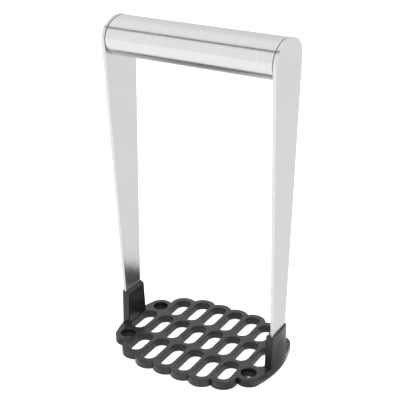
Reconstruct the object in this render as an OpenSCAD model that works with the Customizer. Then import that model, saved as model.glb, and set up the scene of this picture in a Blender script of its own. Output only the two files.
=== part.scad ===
// Hand potato masher: an oval steel grip on two flat steel legs, moulded
// into a slotted nylon head. Millimetres, +Z up, X along the grip.
// The origin is on the surface that the masher stands on, under the
// middle of the head.

/* [Head plate] */
// Thickness of the slotted plate
plate_t = 5; // [4:0.5:7]
// Distance between two neighbouring slots, centre to centre
pitch = 12; // [11:0.25:13]
// Distance from the middle of the head to the outside of a socket
end_x = 52.7; // [52.5:0.1:54]
// Radius of the arc at each end of the head
end_r = 62; // [56:1:62]
// Width of the 45 degree bevel round the top of each opening
rim_bevel = 0.5; // [0.2:0.1:0.6]

/* [Slots] */
// Half of a slot's width, which is the radius of its round ends
slot_r = 4.5; // [4:0.1:4.8]
// Half of the length of the slots in the middle row
mid_half = 10.3; // [9:0.1:10.4]
// Where the slots of the two outer rows begin, from the middle line
outer_from = 13.1; // [12.8:0.1:14]
// Where the slots of the outer rows end, from the middle line
outer_to = 35.4; // [34:0.1:36]
// Where the first and the last slot of an outer row end
outer_end_to = 31.5; // [30:0.1:33]
// Material left outside the round end of an outer slot
lobe_wall = 4; // [3.5:0.1:4.5]

/* [Corner pockets] */
// Radius of the round pocket in each corner of the head
pocket_r = 4.5; // [4:0.1:4.8]
// Depth of a pocket, from the top of the plate
pocket_depth = 3; // [2:0.1:3]
// Radius of the drain hole in the floor of a pocket
drain_r = 1.25; // [0.8:0.05:1.5]
// Thickness of the floor of a pocket
pocket_floor = 0.8; // [0.8:0.1:1]
// Radius of the relief under a pocket
relief_r = 3; // [2.5:0.1:3.5]
// Distance of a pocket from the middle, along the head
corner_x = 41.8; // [41.5:0.1:42]
// Distance of a pocket from the middle, across the head
corner_y = 18.2; // [18:0.1:19]
// Radius of the rounded corner of the plate round a pocket
corner_r = 7.9; // [7.8:0.1:8.1]

/* [Sockets] */
// Height of the top of a socket above the table
socket_top = 27; // [24:0.5:32]
// Distance from the middle of the head to a socket's inner face
socket_in_x = 47.2; // [47:0.1:47.4]
// Half of a socket's width where it leaves the plate
socket_half_base = 9.4; // [9:0.1:10]
// Half of a socket's width at its top
socket_half_top = 8.2; // [8:0.1:8.6]
// Height of the bevel on a socket's inner wall
inner_bevel_h = 1.5; // [1:0.1:2.5]
// Width and height of the bevel on its outer wall
outer_bevel = 0.8; // [0.6:0.1:0.9]
// Depth of the V groove that the leg comes out of
groove_depth = 2.2; // [1.5:0.1:3]

/* [Legs] */
// Thickness of the steel strip
leg_t = 2; // [1.8:0.1:2.2]
// Distance from the middle of the masher to a leg's inner face, where the
// leg comes out of its socket
leg_in_x = 49.6; // [49.4:0.1:49.7]
// How far a leg leans outwards, in degrees
leg_lean = 0.43; // [0:0.01:0.5]
// Taper of each edge of a leg, in degrees
leg_taper = 2.65; // [2.6:0.05:2.8]
// Height of the foot of the leg, inside the socket
leg_foot_z = 3.5; // [3:0.5:6]
// Radius of the hole that locks the leg in the nylon
lock_r = 2.5; // [2:0.1:3]
// Height of that hole
lock_z = 14; // [12:0.5:18]

/* [Grip] */
// Height of the middle line of the tube
grip_z = 185.7; // [180:0.1:190]
// Half of the oval tube's width, from front to back
grip_half_w = 14.8; // [14.6:0.1:15]
// Half of its height
grip_half_h = 11; // [10.5:0.1:12]
// Wall of the tube
tube_wall = 1.2; // [1:0.1:1.5]
// How far the top of a leg stands proud of the tube, all round
leg_proud = 0.25; // [0.1:0.05:0.4]
// Length of the steel cup pressed into each end of the tube
cup_len = 8; // [6:0.5:12]
// Thickness of the bottom and the wall of a cup
cup_t = 1.5; // [1.2:0.1:2]

/* [Hidden] */
$fn = 96;
over = 1;               // how far a cutter runs past a face

steel = "gainsboro";
nylon = "#1d1d1f";

cols = 8;               // columns of openings
col_x = [for (i = [0 : cols - 1]) (i - (cols - 1) / 2) * pitch];
last_slot = cols - 2;   // the outer rows have slots in columns 1 to 6
lobe_r = slot_r + lobe_wall;

function is_end(i) = i == 1 || i == last_slot;
function slot_to(i) = is_end(i) ? outer_end_to : outer_to;

// The arc at the right-hand end is centred at end_c on the middle line,
// and reaches as far round as the pocket in the corner.
end_c = end_x - end_r;
end_angle = atan(corner_y / (corner_x - end_c));

leg_mid_x = leg_in_x + leg_t / 2;

// Place of a leg's inner face at a height.
function leg_face_x(z) = leg_in_x + (z - socket_top) * tan(leg_lean);

gate_x = 46.2;          // place and size of the moulding gate's dimple
gate_y = 13.4;
gate_r = 0.8;
gate_depth = 0.4;

module mirror_x(side) {
  mirror([side < 0 ? 1 : 0, 0, 0]) children();
}

// ---- Head ----------------------------------------------------------

// One quarter of the plate's outline: discs round the slot ends, with
// filled rectangles behind them.
module outline_quarter() {
  for (i = [cols / 2 : last_slot]) {
    y = slot_to(i) - slot_r;
    translate([col_x[i], y]) circle(r = lobe_r);
    square([col_x[i], y]);
  }
  translate([corner_x, corner_y]) circle(r = corner_r);
  square([corner_x, corner_y]);
  intersection() {
    translate([end_c, 0]) circle(r = end_r, $fn = 240);
    polygon([[end_c, 0],
             [end_c + 2 * end_r, 0],
             [end_c + 2 * end_r * cos(end_angle),
              2 * end_r * sin(end_angle)]]);
    square([2 * end_x, 2 * end_x]);
  }
}

module outline() {
  for (sx = [0, 1], sy = [0, 1])
    mirror([sx, 0]) mirror([0, sy]) outline_quarter();
}

// Half of the section of an opening that is bevelled at the top.
function rim_section(r) = [[0, -over], [r, -over], [r, plate_t - rim_bevel],
                           [r + rim_bevel + over, plate_t + over],
                           [0, plate_t + over]];

// A straight slot with round ends from y0 to y1.
module slot(x, y0, y1) {
  straight = (y1 - y0) / 2 - slot_r;
  translate([x, (y0 + y1) / 2, 0]) {
    for (s = [-1, 1])
      translate([0, s * straight, 0])
        rotate_extrude() polygon(rim_section(slot_r));
    rotate([90, 0, 0])
      linear_extrude(height = 2 * straight, center = true)
        for (s = [0, 1]) mirror([s, 0]) polygon(rim_section(slot_r));
  }
}

module slots() {
  for (i = [0 : cols - 1]) slot(col_x[i], -mid_half, mid_half);
  for (i = [1 : last_slot]) {
    slot(col_x[i], outer_from, slot_to(i));
    slot(col_x[i], -slot_to(i), -outer_from);
  }
}

// Round pocket with a thin floor, a drain hole and a relief below.
module pocket(x, y) {
  floor_z = plate_t - pocket_depth;
  translate([x, y, 0]) {
    translate([0, 0, floor_z]) cylinder(r = pocket_r, h = plate_t);
    translate([0, 0, plate_t - rim_bevel])
      cylinder(r1 = pocket_r, r2 = pocket_r + rim_bevel + over,
               h = rim_bevel + over);
    translate([0, 0, -over]) cylinder(r = drain_r, h = plate_t);
    translate([0, 0, -over])
      cylinder(r = relief_r, h = floor_z - pocket_floor + over);
  }
}

module pockets() {
  for (sx = [-1, 1], sy = [-1, 1]) pocket(sx * corner_x, sy * corner_y);
}

// Upright block on the right-hand end that holds a leg, before its top is
// shaped. Its outer face carries on the end arc of the plate.
module socket_block() {
  intersection() {
    translate([end_c, 0, 0]) cylinder(r = end_r, h = socket_top, $fn = 240);
    translate([socket_in_x, 0, 0])
      rotate([90, 0, 90])
        linear_extrude(height = end_x)
          polygon([[-socket_half_base, 0], [socket_half_base, 0],
                   [socket_half_base, plate_t],
                   [socket_half_top, socket_top],
                   [-socket_half_top, socket_top],
                   [-socket_half_base, plate_t]]);
  }
}

// Section of a socket across the masher: a bevel on each wall, and the V
// groove between them.
module socket_section() {
  polygon([[socket_in_x, 0], [end_x, 0],
           [end_x, socket_top - outer_bevel],
           [end_x - outer_bevel, socket_top],
           [leg_mid_x + leg_t / 2, socket_top],
           [leg_mid_x, socket_top - groove_depth],
           [leg_mid_x - leg_t / 2, socket_top],
           [socket_in_x, socket_top - inner_bevel_h]]);
}

module socket() {
  intersection() {
    socket_block();
    rotate([90, 0, 0])
      linear_extrude(height = 4 * socket_half_base, center = true)
        socket_section();
  }
}

module mashing_head() {
  color(nylon) {
    difference() {
      union() {
        linear_extrude(height = plate_t) outline();
        for (side = [-1, 1]) mirror_x(side) socket();
      }
      slots();
      pockets();
      for (side = [-1, 1]) mirror_x(side) {
        leg_strip();
        gate_dimple();
      }
    }
    for (side = [-1, 1]) mirror_x(side) lock_peg();
  }
}

// Small round mark left by the moulding gate, behind a socket.
module gate_dimple() {
  translate([gate_x, gate_y, plate_t - gate_depth])
    cylinder(r = gate_r, h = plate_t);
}

// Nylon that fills the hole in a leg.
module lock_peg() {
  intersection() {
    leg_strip();
    lock_bore();
  }
}

// ---- Legs ----------------------------------------------------------

// Flat strip in the YZ plane: a half round top and two straight edges
// that touch it and draw together towards the foot.
// Oval across the grip, grown by more than 0 or shrunk by less.
module grip_oval(grow) {
  scale([grip_half_w + grow, grip_half_h + grow]) circle(r = 1);
}

// The straight edges leave the oval top where it has their taper.
module leg_outline() {
  half_w = grip_half_w + leg_proud;
  half_h = grip_half_h + leg_proud;
  touch_a = atan(tan(leg_taper) * half_h / half_w);
  touch_y = half_w * cos(touch_a);
  touch_z = grip_z - half_h * sin(touch_a);
  foot_y = touch_y - (touch_z - leg_foot_z) * tan(leg_taper);
  translate([0, grip_z]) grip_oval(leg_proud);
  polygon([[-foot_y, leg_foot_z], [foot_y, leg_foot_z],
           [touch_y, touch_z], [0, grip_z], [-touch_y, touch_z]]);
}

// Right-hand leg without its hole. It leans outwards from its socket up.
module leg_strip() {
  translate([leg_in_x, 0, socket_top])
    rotate([0, leg_lean, 0])
      translate([0, 0, -socket_top])
        rotate([90, 0, 90])
          linear_extrude(height = leg_t) leg_outline();
}

module lock_bore() {
  translate([leg_in_x - leg_t, 0, lock_z])
    rotate([0, 90, 0]) cylinder(r = lock_r, h = 3 * leg_t);
}

module leg(side) {
  color(steel)
    mirror_x(side)
      difference() {
        leg_strip();
        lock_bore();
      }
}

module left_leg() {
  leg(-1);
}

module right_leg() {
  leg(1);
}

// ---- Grip ----------------------------------------------------------

// The room between the two leaning legs, round the grip.
module between_legs() {
  low = grip_z - 2 * grip_half_h;
  high = grip_z + 2 * grip_half_h;
  rotate([90, 0, 0])
    linear_extrude(height = 4 * grip_half_w, center = true)
      polygon([[-leg_face_x(low), low], [leg_face_x(low), low],
               [leg_face_x(high), high], [-leg_face_x(high), high]]);
}

// Oval bar along the grip, from x0 to x1.
module grip_bar(grow, x0, x1) {
  translate([x0, 0, grip_z])
    rotate([90, 0, 90])
      linear_extrude(height = x1 - x0) grip_oval(grow);
}

module handle_tube() {
  color(steel)
    intersection() {
      between_legs();
      difference() {
        grip_bar(0, -end_x, end_x);
        grip_bar(-tube_wall, -end_x - over, end_x + over);
      }
    }
}

// Pressed steel cup, open towards the middle of the tube. Its bottom
// lies against the leg.
module end_cup(side) {
  face_x = leg_face_x(grip_z);
  color(steel)
    mirror_x(side)
      intersection() {
        between_legs();
        difference() {
          grip_bar(-tube_wall, face_x - cup_len, end_x);
          grip_bar(-tube_wall - cup_t, face_x - cup_len - over,
                   face_x - cup_t);
        }
      }
}

module left_end_cup() {
  end_cup(-1);
}

module right_end_cup() {
  end_cup(1);
}

handle_tube();
left_end_cup();
right_end_cup();
left_leg();
right_leg();
mashing_head();
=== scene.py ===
import math

import bmesh
import bpy
from mathutils import Matrix, Vector
from mathutils.geometry import tessellate_polygon


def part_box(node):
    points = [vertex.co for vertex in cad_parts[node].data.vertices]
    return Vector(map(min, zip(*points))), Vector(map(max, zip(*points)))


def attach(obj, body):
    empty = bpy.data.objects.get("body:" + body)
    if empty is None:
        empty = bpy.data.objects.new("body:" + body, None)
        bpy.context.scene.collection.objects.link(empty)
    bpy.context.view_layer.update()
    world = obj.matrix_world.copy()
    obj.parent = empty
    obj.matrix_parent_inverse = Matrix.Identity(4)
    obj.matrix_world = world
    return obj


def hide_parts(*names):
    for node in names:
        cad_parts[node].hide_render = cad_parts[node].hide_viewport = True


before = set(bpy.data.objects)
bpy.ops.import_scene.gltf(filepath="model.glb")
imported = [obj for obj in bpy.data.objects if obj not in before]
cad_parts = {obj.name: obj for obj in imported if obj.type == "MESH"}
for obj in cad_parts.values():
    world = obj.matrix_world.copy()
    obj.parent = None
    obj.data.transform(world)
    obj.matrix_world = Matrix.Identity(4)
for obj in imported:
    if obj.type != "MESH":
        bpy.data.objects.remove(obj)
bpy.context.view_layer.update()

# Hand potato masher, in metres: an oval steel tube on two flat steel legs,
# moulded into a slotted nylon head. X runs along the grip, +Z is up and the
# front of the masher looks along -Y.

# ---- Sizes that come from the frame -----------------------------------

HEAD_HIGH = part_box("mashing_head")[1]
TUBE_LOW, TUBE_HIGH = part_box("handle_tube")
LEG_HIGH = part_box("right_leg")[1]

END_X = HEAD_HIGH.x                 # outside of a socket
SOCKET_TOP = HEAD_HIGH.z
TUBE_HALF_W = TUBE_HIGH.y
TUBE_HALF_H = (TUBE_HIGH.z - TUBE_LOW.z) / 2
GRIP_Z = (TUBE_HIGH.z + TUBE_LOW.z) / 2
LEG_HALF_W = LEG_HIGH.y             # of the oval top of a leg
LEG_HALF_H = LEG_HIGH.z - GRIP_Z

# ---- Sizes of the head ------------------------------------------------

PLATE_T = 0.005
PITCH = 0.012
COLUMNS = 8
COLUMN_X = [(i - (COLUMNS - 1) / 2) * PITCH for i in range(COLUMNS)]
END_R = 0.062                       # arc at each end of the plate
SLOT_R = 0.0045
LOBE_R = 0.0085                     # rounding of the plate outside a slot
MID_HALF = 0.0103                   # half length of a slot in the middle row
OUTER_FROM = 0.0131                 # where the outer slots begin
OUTER_TO = HEAD_HIGH.y - LOBE_R + SLOT_R    # and where they end
END_SLOT_SHORTER = 0.0039           # the first and the last of them end sooner
CORNER = Vector((0.0418, 0.0182))   # middle of a corner pocket
CORNER_R = 0.0079
POCKET_R = 0.0045
POCKET_FLOOR_Z = 0.002
DRAIN_R = 0.00125
WEB_Z = 0.0012                      # underside of a pocket's thin floor
RELIEF_R = 0.003

SOCKET_IN_X = 0.0472
SOCKET_HALF_BASE = 0.0094
SOCKET_HALF_TOP = 0.0082
SOCKET_ROOT_Z = 0.001               # the socket starts inside the plate
GROOVE_DEPTH = 0.0022
OUTER_BEVEL = 0.0008
INNER_BEVEL_H = 0.0015
SKIN = 0.00002                      # keeps cut surfaces off each other
MERGE = SKIN / 10                   # points closer than this are one
GATE = Vector((0.0462, 0.0134))     # moulding gate's dimple
GATE_R = 0.0008
GATE_DEPTH = 0.0004

# ---- Sizes of the legs and the grip -----------------------------------

LEG_T = 0.002
LEG_IN_X = 0.0496                   # inner face, at the top of the socket
LEG_LEAN = math.radians(0.43)
LEG_TAPER = math.radians(2.65)
LEG_FOOT_Z = 0.0035
LOCK_R = 0.0025                     # hole that locks a leg in the nylon
LOCK_Z = 0.014
TUBE_WALL = 0.0012

# ---- Roundings --------------------------------------------------------

RIM_TOP = 0.0005                    # slots and pockets, at the top
RIM_BOTTOM = 0.0003
EDGE_TOP = 0.0006                   # outline of the plate
EDGE_BOTTOM = 0.0005
LEG_EDGE = 0.0002
TUBE_EDGE = 0.0003
SOCKET_EDGE = 0.0005                # upright edges of a socket
SOCKET_LIP = 0.36                   # share of that on its top edges

# ---- Fineness of the meshes -------------------------------------------

ROUND_STEPS = 4                     # across a rounded edge
ARC_STEPS = 24                      # in an arc of the head
SOCKET_STEPS = 16                   # across a socket
LEG_STEPS = 96                      # in the oval top of a leg
HOLE_STEPS = 48
TUBE_STEPS = 192
SHARP_ANGLE = math.radians(32)      # edges sharper than this stay hard


# ---- Mesh tools -------------------------------------------------------

def quarter_round(radius):
    """(inset, drop) from the flat face to the wall of a rounded edge."""
    turns = [math.pi / 2 * k / ROUND_STEPS for k in range(ROUND_STEPS + 1)]
    return [(radius * (1 - math.sin(t)), radius * (1 - math.cos(t))) for t in turns]


def edge_profile(high, low, top_round, bottom_round):
    """(inset, height) down a wall whose two edges are rounded."""
    top = [(inset, high - drop) for inset, drop in quarter_round(top_round)]
    bottom = [(inset, low + drop) for inset, drop in quarter_round(bottom_round)]
    return top + bottom[::-1]


def loft(bm, rings):
    """Quads between closed rings that have the same number of points."""
    made = [[bm.verts.new(p) for p in ring] for ring in rings]
    for upper, lower in zip(made, made[1:]):
        count = len(upper)
        for k in range(count):
            n = (k + 1) % count
            bm.faces.new((upper[k], upper[n], lower[n], lower[k]))
    return made


def cap(bm, loops):
    """Flat face with holes: the first loop is the outline."""
    verts = [v for loop in loops for v in loop]
    for tri in tessellate_polygon([[v.co for v in loop] for loop in loops]):
        bm.faces.new([verts[i] for i in tri])


def mesh_object(name, bm):
    bmesh.ops.recalc_face_normals(bm, faces=bm.faces)
    mesh = bpy.data.meshes.new(name)
    bm.to_mesh(mesh)
    bm.free()
    obj = bpy.data.objects.new(name, mesh)
    bpy.context.scene.collection.objects.link(obj)
    return obj


def bake_modifiers(obj):
    """Replaces the mesh with what its modifiers make of it."""
    graph = bpy.context.evaluated_depsgraph_get()
    made = bpy.data.meshes.new_from_object(obj.evaluated_get(graph))
    obj.modifiers.clear()
    obj.data = made


def combine(obj, others, operation):
    for other in others:
        mod = obj.modifiers.new(operation, "BOOLEAN")
        mod.operation = operation
        mod.solver = "MANIFOLD"
        mod.object = other
    bake_modifiers(obj)
    for other in others:
        bpy.data.objects.remove(other)


def smooth(obj):
    """Smooth shading that keeps flat faces flat and hard edges hard."""
    obj.data.polygons.foreach_set("use_smooth", [True] * len(obj.data.polygons))
    obj.data.set_sharp_from_angle(angle=SHARP_ANGLE)
    mod = obj.modifiers.new("flat faces", "WEIGHTED_NORMAL")
    mod.keep_sharp = True
    mod.weight = 100


# ---- Head -------------------------------------------------------------

def crossing(a, ra, b, rb):
    """Where two circles cross, on the left of the way from a to b."""
    way = b - a
    along = (ra * ra - rb * rb + way.length_squared) / (2 * way.length)
    aside = math.sqrt(ra * ra - along * along)
    unit = way.normalized()
    return a + unit * along + Vector((-unit.y, unit.x)) * aside


def slot_end(i):
    """Y at which the outer slot of a column ends."""
    return OUTER_TO - END_SLOT_SHORTER if i in (1, COLUMNS - 2) else OUTER_TO


def arc(centre, start, end):
    """Points round centre from start to end, without the last one."""
    a, b = (math.atan2(p.y - centre.y, p.x - centre.x) for p in (start, end))
    r = (start - centre).length
    turns = [a + (b - a) * k / ARC_STEPS for k in range(ARC_STEPS)]
    return [centre + r * Vector((math.cos(t), math.sin(t))) for t in turns]


def plate_outline(inset):
    """Outline of the plate, moved inwards: arcs round the outer slots, the
    corner pockets and the ends, mirrored from one quarter."""
    right = range(COLUMNS // 2, COLUMNS - 1)
    discs = [(Vector((COLUMN_X[i], slot_end(i) - SLOT_R)), LOBE_R) for i in right]
    discs += [(CORNER, CORNER_R), (Vector((END_X - END_R, 0)), END_R)]
    discs = [(centre, r - inset) for centre, r in discs]
    first, r = discs[0]
    cuts = [crossing(Vector((-first.x, first.y)), r, first, r)]
    cuts += [crossing(a, ra, b, rb) for (a, ra), (b, rb) in zip(discs, discs[1:])]
    cuts.append(Vector((END_X - inset, 0)))
    quarter = []
    for (centre, _), start, end in zip(discs, cuts, cuts[1:]):
        quarter += arc(centre, start, end)
    half = quarter + [cuts[-1]] + [Vector((p.x, -p.y)) for p in quarter[:0:-1]]
    return half + [Vector((-p.x, -p.y)) for p in half]


def stadium(x, y0, y1, radius):
    """Round-ended slot; y0 and y1 are the middles of its ends."""
    turns = [math.pi * k / ARC_STEPS for k in range(ARC_STEPS + 1)]
    top = [Vector((x + radius * math.cos(t), y1 + radius * math.sin(t))) for t in turns]
    low = [Vector((x - radius * math.cos(t), y0 - radius * math.sin(t))) for t in turns]
    return top + low


def slot_list():
    """(x, y0, y1) of all the slots, between the middles of their ends."""
    found = [(x, SLOT_R - MID_HALF, MID_HALF - SLOT_R) for x in COLUMN_X]
    for i in range(1, COLUMNS - 1):
        a, b = OUTER_FROM + SLOT_R, slot_end(i) - SLOT_R
        found += [(COLUMN_X[i], a, b), (COLUMN_X[i], -b, -a)]
    return found


def pocket_profile():
    """(radius, height) of a corner pocket, from its rim down to its relief."""
    rim = [(POCKET_R + inset, PLATE_T - drop)
           for inset, drop in quarter_round(RIM_TOP)]
    fillet = [(POCKET_R - drop, POCKET_FLOOR_Z + inset)
              for inset, drop in quarter_round(RIM_BOTTOM)]
    return rim + fillet + [(DRAIN_R, POCKET_FLOOR_Z), (DRAIN_R, WEB_Z),
                           (RELIEF_R, WEB_Z), (RELIEF_R, 0)]


def plate():
    """Plate with its slots and pockets, as one closed mesh."""
    bm = bmesh.new()
    profile = edge_profile(PLATE_T, 0, EDGE_TOP, EDGE_BOTTOM)
    walls = [loft(bm, [[p.to_3d() + Vector((0, 0, z)) for p in plate_outline(inset)]
                       for inset, z in profile])]
    profile = edge_profile(PLATE_T, 0, RIM_TOP, RIM_BOTTOM)
    for x, y0, y1 in slot_list():
        walls.append(loft(bm, [[p.to_3d() + Vector((0, 0, z))
                                for p in stadium(x, y0, y1, SLOT_R + inset)]
                               for inset, z in profile]))
    for sx in (-1, 1):
        for sy in (-1, 1):
            x, y = sx * CORNER.x, sy * CORNER.y
            walls.append(loft(bm, [[p.to_3d() + Vector((0, 0, z))
                                    for p in stadium(x, y, y, r)[1:-1]]
                                   for r, z in pocket_profile()]))
    cap(bm, [wall[0] for wall in walls])
    cap(bm, [wall[-1] for wall in walls])
    bmesh.ops.remove_doubles(bm, verts=bm.verts, dist=MERGE)
    return mesh_object("plate", bm)


def socket_half(z):
    """Half of a socket's width at a height."""
    rise = max(0.0, (z - PLATE_T) / (SOCKET_TOP - PLATE_T))
    return SOCKET_HALF_BASE + (SOCKET_HALF_TOP - SOCKET_HALF_BASE) * rise


def socket_section(share):
    """Points round a socket's section at a share, -1 to 1, of its width."""
    def wall_x(z):
        reach = END_R - SKIN
        return END_X - END_R + math.sqrt(reach ** 2 - (share * socket_half(z)) ** 2)

    chamfer_z = SOCKET_TOP - OUTER_BEVEL + (END_X - wall_x(SOCKET_TOP))
    section = [(SOCKET_IN_X, SOCKET_ROOT_Z), (SOCKET_IN_X, PLATE_T),
               (SOCKET_IN_X, SOCKET_TOP - INNER_BEVEL_H), (LEG_IN_X, SOCKET_TOP),
               (LEG_IN_X + LEG_T / 2, SOCKET_TOP - GROOVE_DEPTH),
               (LEG_IN_X + LEG_T, SOCKET_TOP), (END_X - OUTER_BEVEL, SOCKET_TOP),
               (wall_x(chamfer_z), chamfer_z), (wall_x(PLATE_T), PLATE_T),
               (wall_x(SOCKET_ROOT_Z), SOCKET_ROOT_Z)]
    return [Vector((x, share * socket_half(z), z)) for x, z in section]


def socket():
    """Upright block on the right-hand end, with its edges rounded."""
    bm = bmesh.new()
    shares = [2 * k / SOCKET_STEPS - 1 for k in range(SOCKET_STEPS + 1)]
    rings = loft(bm, [socket_section(share) for share in shares])
    # Each side is two faces, because it leans in only above the plate.
    for ring in (rings[0], rings[-1]):
        bm.faces.new((ring[0], ring[1], ring[8], ring[9]))
        bm.faces.new(ring[1:9])
    weight = bm.edges.layers.float.new("bevel_weight_edge")
    for ring in (rings[0], rings[-1]):
        for a, b in zip(ring, ring[1:]):
            upright = abs(a.co.x - b.co.x) < OUTER_BEVEL / 2
            bm.edges.get((a, b))[weight] = 1.0 if upright else SOCKET_LIP
    # The edges along the top, apart from the bottom of the leg's groove.
    for first, second in zip(rings, rings[1:]):
        for k in (2, 3, 5, 6, 7):
            bm.edges.get((first[k], second[k]))[weight] = SOCKET_LIP
    obj = mesh_object("socket", bm)
    mod = obj.modifiers.new("edges", "BEVEL")
    mod.limit_method = "WEIGHT"
    mod.width = SOCKET_EDGE
    mod.segments = 3
    mod.use_clamp_overlap = False
    bake_modifiers(obj)
    return obj


def gate_dimple():
    """Ball that leaves a shallow round mark in the plate."""
    ball_r = (GATE_R ** 2 + GATE_DEPTH ** 2) / (2 * GATE_DEPTH)
    place = Vector((GATE.x, GATE.y, PLATE_T - GATE_DEPTH + ball_r))
    bm = bmesh.new()
    bmesh.ops.create_icosphere(bm, subdivisions=3, radius=ball_r,
                               matrix=Matrix.Translation(place))
    return mesh_object("gate", bm)


def mirrored(make):
    """The object that make() builds, and its mirror image across X = 0."""
    right, left = make(), make()
    left.data.transform(Matrix.Scale(-1, 4, (1, 0, 0)))
    left.data.flip_normals()
    return [right, left]


def mashing_head():
    head = plate()
    head.name = "nylon_head"
    combine(head, mirrored(socket), "UNION")
    combine(head, mirrored(lambda: leg_strip("cut", 0)) + mirrored(gate_dimple),
            "DIFFERENCE")
    smooth(head)
    return head


# ---- Legs and grip ----------------------------------------------------

def oval(half_w, half_h, turns):
    """Points of an oval round the grip's middle line."""
    return [Vector((0, half_w * math.cos(t), GRIP_Z + half_h * math.sin(t)))
            for t in turns]


def leg_outline(inset):
    """Oval top, and two straight edges that leave it at their taper."""
    half_w, half_h = LEG_HALF_W - inset, LEG_HALF_H - inset
    foot_z = LEG_FOOT_Z + inset
    touch = math.atan(math.tan(LEG_TAPER) * half_h / half_w)
    sweep = math.pi + 2 * touch
    turns = [-touch + sweep * k / LEG_STEPS for k in range(LEG_STEPS + 1)]
    top = oval(half_w, half_h, turns)
    foot_y = top[0].y - (top[0].z - foot_z) * math.tan(LEG_TAPER)
    return top + [Vector((0, -foot_y, foot_z)), Vector((0, foot_y, foot_z))]


def lock_hole(inset):
    turns = [2 * math.pi * k / HOLE_STEPS for k in range(HOLE_STEPS)]
    r = LOCK_R + inset
    return [Vector((0, r * math.cos(t), LOCK_Z + r * math.sin(t))) for t in turns]


def leg_strip(name, edge):
    """Right-hand leg, with its edges rounded by edge, leaning outwards."""
    bm = bmesh.new()
    if edge:
        profile = edge_profile(LEG_IN_X + LEG_T, LEG_IN_X, edge, edge)
    else:
        profile = [(0, LEG_IN_X + LEG_T), (0, LEG_IN_X)]
    walls = [loft(bm, [[p + Vector((x, 0, 0)) for p in outline(inset)]
                       for inset, x in profile])
             for outline in (leg_outline, lock_hole)]
    cap(bm, [wall[0] for wall in walls])
    cap(bm, [wall[-1] for wall in walls])
    bmesh.ops.rotate(bm, verts=bm.verts, cent=(LEG_IN_X, 0, SOCKET_TOP),
                     matrix=Matrix.Rotation(LEG_LEAN, 3, "Y"))
    return mesh_object(name, bm)


def legs():
    made = mirrored(lambda: leg_strip("leg", LEG_EDGE))
    for obj, side in zip(made, ("right", "left")):
        obj.name = side + "_steel_leg"
        smooth(obj)
    return made


def leg_face_x(z):
    """Place of the right-hand leg's inner face at a height."""
    return LEG_IN_X + (z - SOCKET_TOP) * math.tan(LEG_LEAN)


def grip_tube():
    """Open oval tube along X, with rounded ends that lie against the legs."""
    # (depth into the wall, distance back from the leg), from the inside of
    # the wall over the rounded end to the outside, and back at the left end.
    wall = [(drop, inset) for inset, drop in quarter_round(TUBE_EDGE)]
    right = [(TUBE_WALL, 0)] + wall[::-1]
    section = [(depth, back, 1) for depth, back in right]
    section += [(depth, back, -1) for depth, back in right[::-1]]
    turns = [2 * math.pi * k / TUBE_STEPS for k in range(TUBE_STEPS)]
    rings = []
    for depth, back, side in section:
        ring = oval(TUBE_HALF_W - depth, TUBE_HALF_H - depth, turns)
        rings.append([Vector((side * (leg_face_x(p.z) - back), p.y, p.z))
                      for p in ring])
    bm = bmesh.new()
    loft(bm, rings + [rings[0]])
    bmesh.ops.remove_doubles(bm, verts=bm.verts, dist=MERGE)
    obj = mesh_object("grip_tube", bm)
    smooth(obj)
    return obj


# ---- Materials --------------------------------------------------------

# Painted shade: the tube darkens towards a leg between these distances from it, as the
# shade in the joint.
JOINT_SHADE_FROM = 0.0008
JOINT_SHADE_TO = 0.0004


def grey(value, blue=None):
    """Opaque grey, tinted where its blue is given."""
    return (value, value, value if blue is None else blue, 1)


class Shader:
    """A material whose nodes are added and linked by short calls."""

    def __init__(self, name):
        self.material = bpy.data.materials.new(name)
        self.material.use_nodes = True
        self.tree = self.material.node_tree
        self.surface = self.tree.nodes["Principled BSDF"]
        self.place = self.add("ShaderNodeTexCoord").outputs["Object"]

    def add(self, kind, links=None, **settings):
        """A node with properties set, and sockets linked or given values."""
        made = self.tree.nodes.new(kind)
        for key, value in settings.items():
            setattr(made, key, value)
        for key, value in (links or {}).items():
            self.put(made.inputs[key], value)
        return made

    def put(self, socket, value):
        if isinstance(value, bpy.types.NodeSocket):
            self.tree.links.new(value, socket)
        else:
            socket.default_value = value

    def stretched(self, scale):
        """Object coordinates, scaled for each axis."""
        return self.add("ShaderNodeMapping", {"Vector": self.place, "Scale": scale}
                        ).outputs["Vector"]

    def noise(self, scale, detail=3.0, roughness=0.5):
        links = {"Vector": self.stretched(scale), "Scale": 1.0, "Detail": detail,
                 "Roughness": roughness}
        return self.add("ShaderNodeTexNoise", links).outputs["Fac"]

    def span(self, value, low, high, from_low=0.3, from_high=0.7):
        """value, from one range to another. A noise is mostly 0.3 to 0.7."""
        links = {"Value": value, "From Min": from_low, "From Max": from_high,
                 "To Min": low, "To Max": high}
        return self.add("ShaderNodeMapRange", links).outputs["Result"]

    def calc(self, operation, a, b):
        return self.add("ShaderNodeMath", {0: a, 1: b}, operation=operation
                        ).outputs["Value"]

    def mix(self, factor, a, b):
        made = self.add("ShaderNodeMix", data_type="RGBA")
        for index, value in ((0, factor), (6, a), (7, b)):
            self.put(made.inputs[index], value)
        return made.outputs[2]

    def edges(self, radius):
        """1 on edges that stand out, and 0 on flat faces."""
        rounded = self.add("ShaderNodeBevel", {"Radius": radius}, samples=6)
        facing = self.add("ShaderNodeNewGeometry").outputs["Normal"]
        dot = self.add("ShaderNodeVectorMath", {0: rounded.outputs["Normal"], 1: facing},
                       operation="DOT_PRODUCT").outputs["Value"]
        return self.span(dot, 1.0, 0.0, 0.8, 0.98)

    def bump(self, height, distance, normal=None):
        links = {"Height": height, "Distance": distance, "Strength": 1.0}
        if normal:
            links["Normal"] = normal
        return self.add("ShaderNodeBump", links).outputs["Normal"]

    def set(self, **inputs):
        for key, value in inputs.items():
            self.put(self.surface.inputs[key.replace("_", " ")], value)


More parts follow.
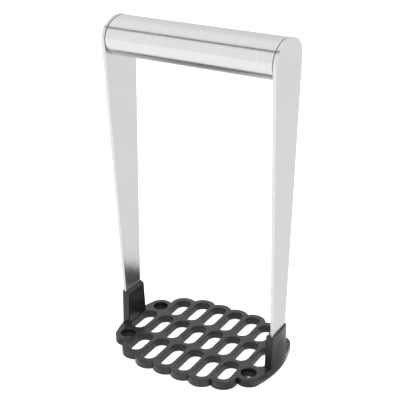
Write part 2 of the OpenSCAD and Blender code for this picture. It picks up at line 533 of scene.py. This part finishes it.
def brushed_steel(name, fine, broad, tangent_axis, turn, tone, joint_shade_x=None):
    """Satin steel. fine and broad are the noise scales of the brush lines,
    and the reflections spread across them. tone is the colour between the
    lines, on them and in the haze. Where a leg's face is given, a painted
    shade darkens the tube into the joint with that leg."""
    s = Shader(name)
    lines = s.noise(fine, detail=4.0, roughness=0.6)
    bands = s.noise(broad, detail=2.0)
    clouds = s.noise((45, 45, 45), detail=2.0)
    edge = s.edges(0.0004)
    worn = s.mix(s.span(lines, 0.0, 1.0), tone[0], tone[1])
    hazed = s.mix(s.span(clouds, 0.0, 0.35), worn, tone[2])
    rough = s.span(bands, 0.21, 0.26)
    rough = s.calc("ADD", rough, s.span(lines, -0.01, 0.02))
    # Painted shade: a dark ring where the tube meets a leg stands for the shade in the
    # joint. The lighter edge colour is taken away there.
    if joint_shade_x:
        split = s.add("ShaderNodeSeparateXYZ", {"Vector": s.place})
        along = s.calc("ABSOLUTE", split.outputs["X"], 0.0)
        joint_shade = s.span(along, 0.0, 1.0, joint_shade_x - JOINT_SHADE_FROM, joint_shade_x - JOINT_SHADE_TO)
        hazed = s.mix(joint_shade, hazed, grey(0.20))
        edge = s.calc("MULTIPLY", edge, s.calc("SUBTRACT", 1.0, joint_shade))
    tangent = s.add("ShaderNodeTangent", direction_type="RADIAL", axis=tangent_axis)
    # Edges get a lighter colour: partly bare worn steel, and partly a painted highlight
    # along them.
    s.set(Base_Color=s.mix(edge, hazed, grey(0.80, 0.81)), Metallic=1.0,
          Roughness=s.calc("SUBTRACT", rough, s.calc("MULTIPLY", edge, 0.08)),
          Anisotropic=0.8, Anisotropic_Rotation=turn,
          Tangent=tangent.outputs["Tangent"], Normal=s.bump(lines, 0.000005))
    return s.material


def drawn_steel():
    """Pressed cup: smoother steel with faint rings from the draw."""
    s = Shader("drawn_steel")
    rings = s.noise((2600, 90, 90), detail=2.0)
    clouds = s.noise((120, 120, 120))
    s.set(Base_Color=s.mix(s.span(clouds, 0.0, 1.0), grey(0.48, 0.49), grey(0.58, 0.585)),
          Metallic=1.0, Roughness=s.span(rings, 0.22, 0.36),
          Normal=s.bump(rings, 0.00001))
    return s.material


def moulded_nylon():
    """Black nylon with the fine grain of an eroded mould. Faces that look up
    are painted lighter, as painted light on the tops, and edges are smoother
    and painted darker, as painted shade along them."""
    s = Shader("moulded_nylon")
    grain = s.noise((1700, 1700, 1700), detail=3.0, roughness=0.65)
    mottle = s.noise((800, 800, 800), detail=3.0, roughness=0.7)
    flow = s.noise((140, 60, 90), detail=3.0)
    clouds = s.noise((420, 420, 420), detail=2.0)
    edge = s.edges(0.0006)
    facing = s.add("ShaderNodeSeparateXYZ",
                   {"Vector": s.add("ShaderNodeNewGeometry").outputs["Normal"]})
    # Painted light: faces that look up get a lighter, mottled colour, as tops lit from
    # above.
    level = s.span(facing.outputs["Z"], 0.0, 1.0, 0.8, 0.99)
    lit_top_paint = s.calc("MULTIPLY", level, s.span(clouds, 0.35, 1.0))
    body = s.mix(s.span(flow, 0.0, 1.0), grey(0.005, 0.0055), grey(0.010, 0.011))
    pale = s.mix(s.span(mottle, 0.0, 1.0), grey(0.003, 0.0035), grey(0.055, 0.057))
    rough = s.calc("ADD", s.span(clouds, 0.26, 0.34), s.span(grain, -0.04, 0.04))
    soft = s.bump(clouds, 0.00003)
    # Edges are painted darker, as painted shade along them.
    s.set(Base_Color=s.mix(edge, s.mix(lit_top_paint, body, pale), grey(0.003)), IOR=1.5,
          Roughness=s.calc("SUBTRACT", rough, s.calc("MULTIPLY", edge, 0.10)),
          Normal=s.bump(grain, 0.00004, normal=soft))
    return s.material


# ---- Camera, light and floor -----------------------------------------

FLOOR_Z = -0.0002
TABLE_Z = -0.0001                   # cards just over the floor
SHADE_Z = -0.00005                  # cards over those, still under the head

# Cards that show only in reflections: name, near left corner, far right
# corner, height, brightness, and whether it is a steep one.
CARDS = (
    # dark line along the top of the grip
    ("gap_above", (-2, -0.28), (2, -0.15), 0.889, 0.1, False),
    # the table, brighter in front than behind
    ("table_front", (-4, -4), (4, 0.02), TABLE_Z, 1.3, False),
    ("table_back", (-4, 0.02), (4, 4), TABLE_Z, 1.04, False),
    # the masher's shade on the table, under it and at its right
    ("under_head", (-0.05, -0.037), (0.05, 0.037), SHADE_Z, 0.75, False),
    ("right_shadow", (0.053, -0.02), (0.07, 0.03), SHADE_Z, 0.45, False),
    # painted reflection: dark cards that paint a dark band along the bottom of the grip,
    # darkest at its edge
    ("dark_reflection_card", (-0.2, 0.035), (-0.055, 0.2), 0.004, 0.35, True),
    ("darkest_reflection_card", (-0.2, -0.04), (-0.055, 0.035), 0.004, 0.0, True),
    # painted shadow: the head's shadow on the table behind it, which shows as a dark fade
    # at the foot of the left leg
    ("behind_head", (-0.04, 0.037), (0.01, 0.057), 0.003, 0.05, False),
)
# How far from facing the ray, 0 to 1, a steep card starts to fade and is gone.
STEEP_FADE = (0.3, 0.45)


def camera():
    """Looks down on the masher from its right-hand front."""
    azimuth, elevation, roll = (math.radians(a) for a in (31.072, 24.687, -0.578))
    target = Vector((-0.000515, 0, 0.096542))
    distance = 0.523957
    back = Vector((math.sin(azimuth) * math.cos(elevation),
                   -math.cos(azimuth) * math.cos(elevation), math.sin(elevation)))
    data = bpy.data.cameras.new("camera")
    data.sensor_width = 36
    data.lens = 83.193
    data.clip_start = 0.01
    obj = bpy.data.objects.new("camera", data)
    turn = (-back).to_track_quat("-Z", "Y").to_matrix() @ Matrix.Rotation(roll, 3, "Z")
    obj.matrix_world = Matrix.Translation(target + back * distance) @ turn.to_4x4()
    bpy.context.scene.collection.objects.link(obj)
    bpy.context.scene.camera = obj


def flat_card(name, low, high, z):
    bm = bmesh.new()
    corners = ((low[0], low[1]), (high[0], low[1]), (high[0], high[1]), (low[0], high[1]))
    bm.faces.new([bm.verts.new((x, y, z)) for x, y in corners])
    obj = mesh_object(name, bm)
    return obj


def floor():
    """White light table: it glows a little, so the shadows stay soft."""
    obj = flat_card("floor", (-6, -6), (6, 6), FLOOR_Z)
    mat = bpy.data.materials.new("light_table")
    mat.use_nodes = True
    surface = mat.node_tree.nodes["Principled BSDF"]
    surface.inputs["Base Color"].default_value = grey(0.8)
    surface.inputs["Roughness"].default_value = 0.9
    surface.inputs["Emission Color"].default_value = grey(1)
    surface.inputs["Emission Strength"].default_value = 0.7
    obj.data.materials.append(mat)


def flag(name, low, high, z, brightness, steep):
    """Card that shows only in reflections, as the dark line between two
    softboxes does. A steep one shows only to rays that meet it steeply."""
    obj = flat_card(name, low, high, z)
    mat = bpy.data.materials.new(name)
    mat.use_nodes = True
    nodes, links = mat.node_tree.nodes, mat.node_tree.links
    surface = nodes["Principled BSDF"]
    surface.inputs["Base Color"].default_value = grey(0)
    surface.inputs["Specular IOR Level"].default_value = 0
    surface.inputs["Emission Color"].default_value = grey(1)
    surface.inputs["Emission Strength"].default_value = brightness
    if steep:
        slant = nodes.new("ShaderNodeMapRange")
        for key, value in zip(("From Min", "From Max"), STEEP_FADE):
            slant.inputs[key].default_value = value
        links.new(nodes.new("ShaderNodeLayerWeight").outputs["Facing"],
                  slant.inputs["Value"])
        mix = nodes.new("ShaderNodeMixShader")
        links.new(slant.outputs["Result"], mix.inputs[0])
        links.new(surface.outputs[0], mix.inputs[1])
        links.new(nodes.new("ShaderNodeBsdfTransparent").outputs[0], mix.inputs[2])
        links.new(mix.outputs[0], nodes["Material Output"].inputs["Surface"])
    obj.data.materials.append(mat)
    obj.visible_camera = obj.visible_diffuse = obj.visible_shadow = False
    obj.visible_transmission = obj.visible_volume_scatter = False


def sky():
    """Soft white surround, dimmer towards +Y, behind the masher."""
    world = bpy.data.worlds.new("studio")
    bpy.context.scene.world = world
    world.use_nodes = True
    nodes, links = world.node_tree.nodes, world.node_tree.links
    coord = nodes.new("ShaderNodeTexCoord")
    split = nodes.new("ShaderNodeSeparateXYZ")
    ramp = nodes.new("ShaderNodeMapRange")
    links.new(coord.outputs["Generated"], split.inputs[0])
    links.new(split.outputs["Y"], ramp.inputs["Value"])
    for key, value in (("From Min", 0.4), ("From Max", 0.9),
                       ("To Min", 1.15), ("To Max", 0.83)):
        ramp.inputs[key].default_value = value
    links.new(ramp.outputs["Result"], nodes["Background"].inputs["Strength"])
    nodes["Background"].inputs["Color"].default_value = grey(1)


def softbox(name, place, size, power):
    data = bpy.data.lights.new(name, "AREA")
    data.shape = "RECTANGLE"
    data.size, data.size_y = size
    data.energy = power
    obj = bpy.data.objects.new(name, data)
    aim = Vector((0, 0, GRIP_Z / 2)) - Vector(place)
    turn = aim.to_track_quat("-Z", "Y").to_matrix().to_4x4()
    obj.matrix_world = Matrix.Translation(place) @ turn
    obj.visible_glossy = False
    bpy.context.scene.collection.objects.link(obj)


# ---- The masher -------------------------------------------------------

tube_steel = brushed_steel("tube_steel", fine=(5200, 60, 60), broad=(900, 25, 25),
                           tangent_axis="X", turn=0.25,
                           tone=(grey(0.60, 0.605), grey(0.69, 0.695), grey(0.67, 0.675)),
                           joint_shade_x=leg_face_x(GRIP_Z))
leg_steel = brushed_steel("leg_steel", fine=(60, 5200, 40), broad=(25, 900, 12),
                          tangent_axis="Z", turn=0.0,
                          tone=(grey(0.59, 0.595), grey(0.66, 0.665), grey(0.65, 0.655)))
nylon = moulded_nylon()
cup_steel = drawn_steel()

tube = grip_tube()
right_leg, left_leg = legs()
head = mashing_head()

for piece, node, slot, look in ((tube, "handle_tube", "grip_steel", tube_steel),
                                (right_leg, "right_leg", "leg_steel", leg_steel),
                                (left_leg, "left_leg", "leg_steel", leg_steel),
                                (head, "mashing_head", "head_nylon", nylon)):
    piece.data.materials.clear()
    piece.data.materials.append(look)
    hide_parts(node)
    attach(piece, "root")

for node in ("left_end_cup", "right_end_cup"):
    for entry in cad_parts[node].material_slots:
        entry.material = cup_steel

camera()
floor()
sky()
softbox("overhead", place=(-0.2, -0.5, 1.4), size=(1.6, 1.2), power=4)
for card in CARDS:
    flag(*card)
bpy.context.scene.view_settings.view_transform = "Standard"
